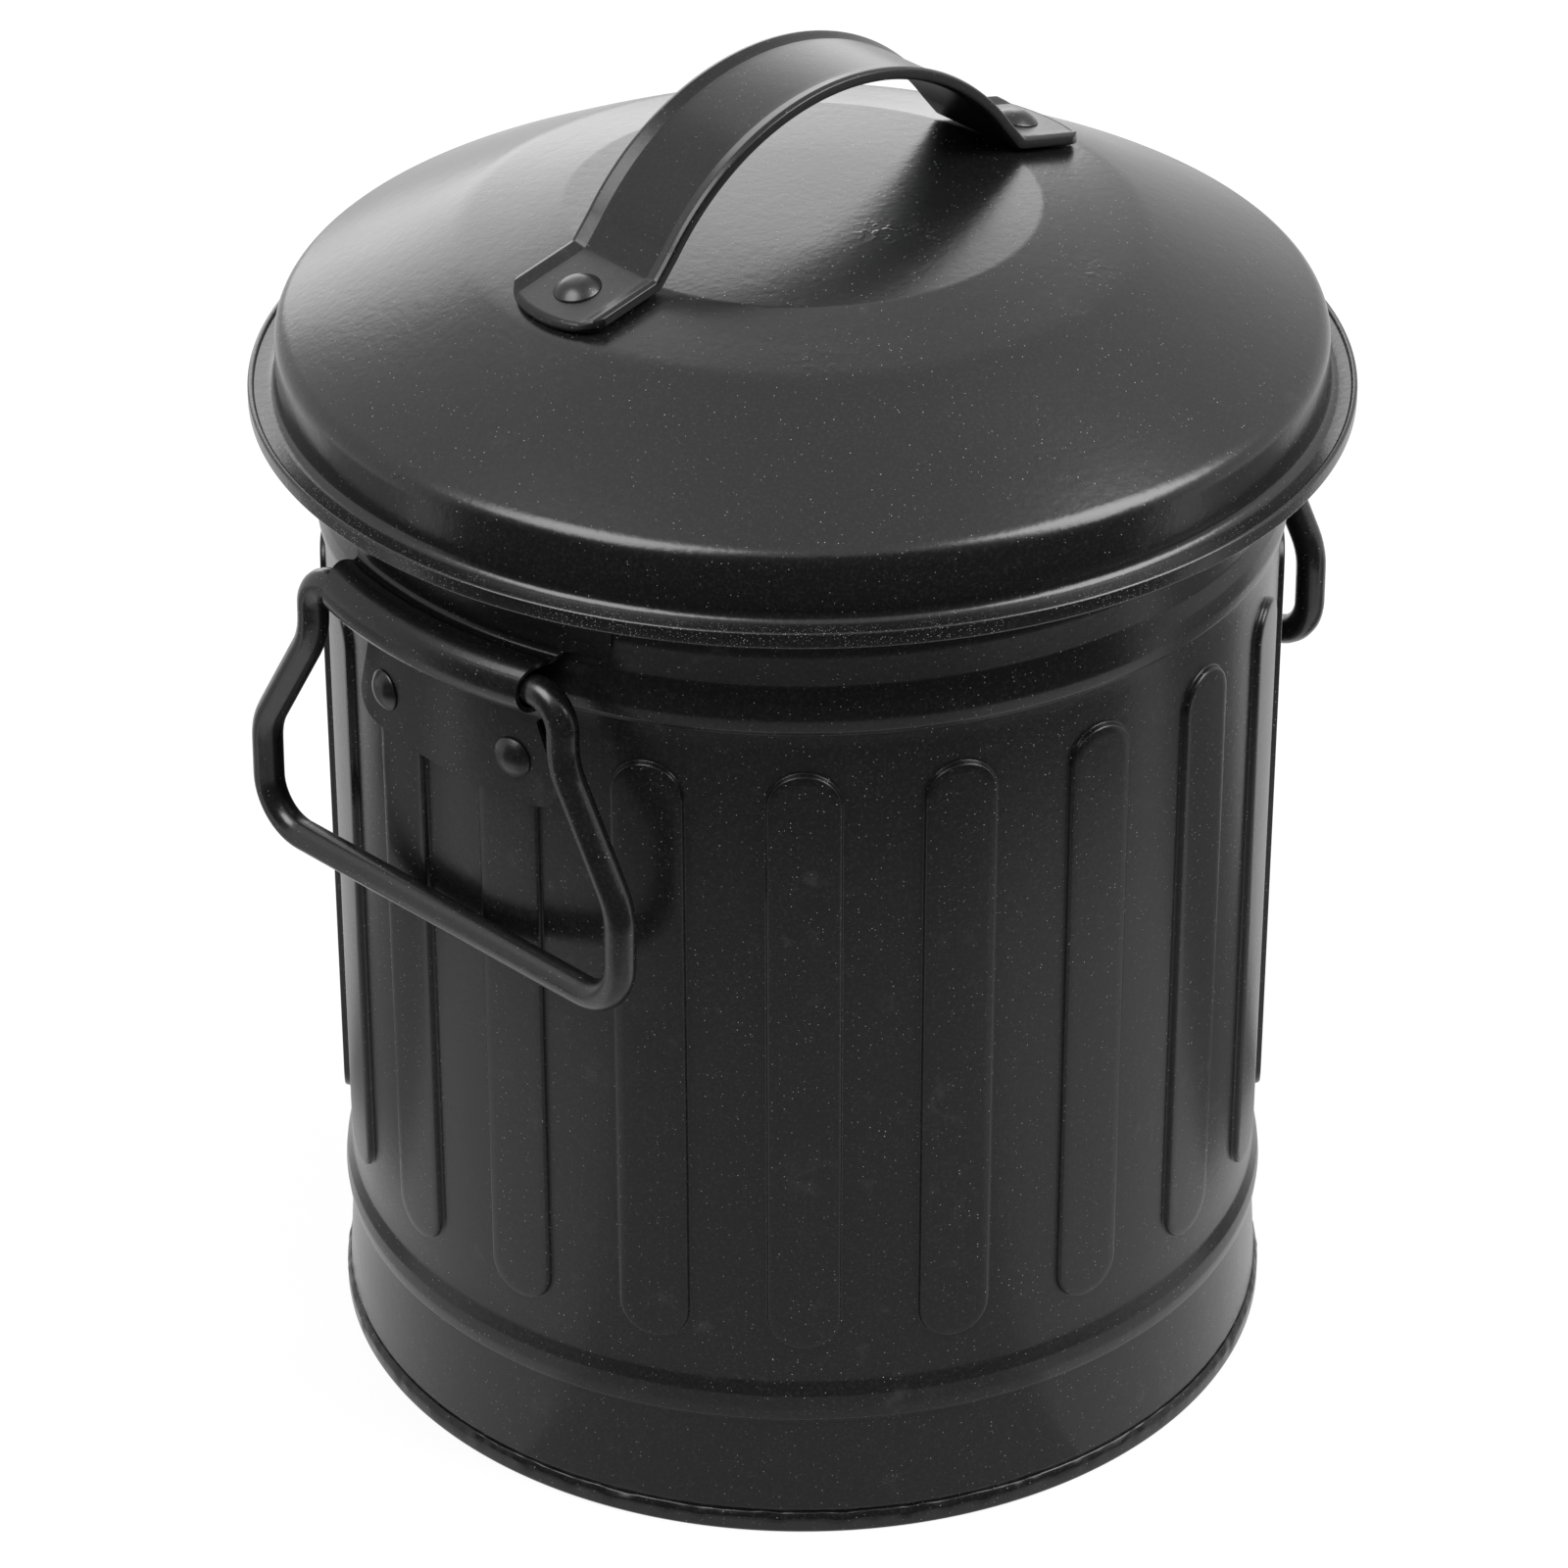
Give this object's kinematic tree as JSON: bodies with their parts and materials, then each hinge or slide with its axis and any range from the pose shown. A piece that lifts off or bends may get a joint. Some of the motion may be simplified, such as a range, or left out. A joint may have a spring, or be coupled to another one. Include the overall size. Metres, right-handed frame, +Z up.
{
  "type": "small steel bin with lift-off lid",
  "caption": "Small black painted steel bin: round ribbed can with rolled beads, a domed lift-off lid with a strap handle, and a swinging wire bail on each side.",
  "frame": {"origin": "centre of the can on the surface it stands on", "axes": "+Z up through the lid, the two side handles on -X and +X"},
  "size_m": [0.181, 0.181, 0.2316],
  "materials": {
    "can_paint": "semi-gloss",
    "lid_paint": "semi-gloss",
    "strap_paint": "semi-gloss",
    "bracket_paint": "semi-gloss",
    "wire_paint": "semi-gloss",
    "rivet_paint": "semi-gloss"
  },
  "bodies": {
    "can": {"body_shell": "can_paint", "base_pan": "can_paint", "left_bracket": "bracket_paint", "right_bracket": "bracket_paint", "left_rivet_front": "rivet_paint", "left_rivet_back": "rivet_paint", "right_rivet_front": "rivet_paint", "right_rivet_back": "rivet_paint"},
    "lid": {"lid_shell": "lid_paint", "lid_handle": "strap_paint", "lid_rivet_left": "rivet_paint", "lid_rivet_right": "rivet_paint"},
    "left_bail": {"left_bail": "wire_paint"},
    "right_bail": {"right_bail": "wire_paint"}
  },
  "joints": [
    {"name": "lid_lift", "type": "slide", "parent": "can", "child": "lid", "axis": [0, 0, 1], "range_m": [0, 0.12]},
    {"name": "left_bail_swing", "type": "hinge", "parent": "can", "child": "left_bail", "pos_m": [-0.08174, 0, 0.1588], "axis": [0, 1, 0], "range_deg": [0, 150]},
    {"name": "right_bail_swing", "type": "hinge", "parent": "can", "child": "right_bail", "pos_m": [0.08174, 0, 0.1588], "axis": [0, -1, 0], "range_deg": [0, 150]}
  ]
}
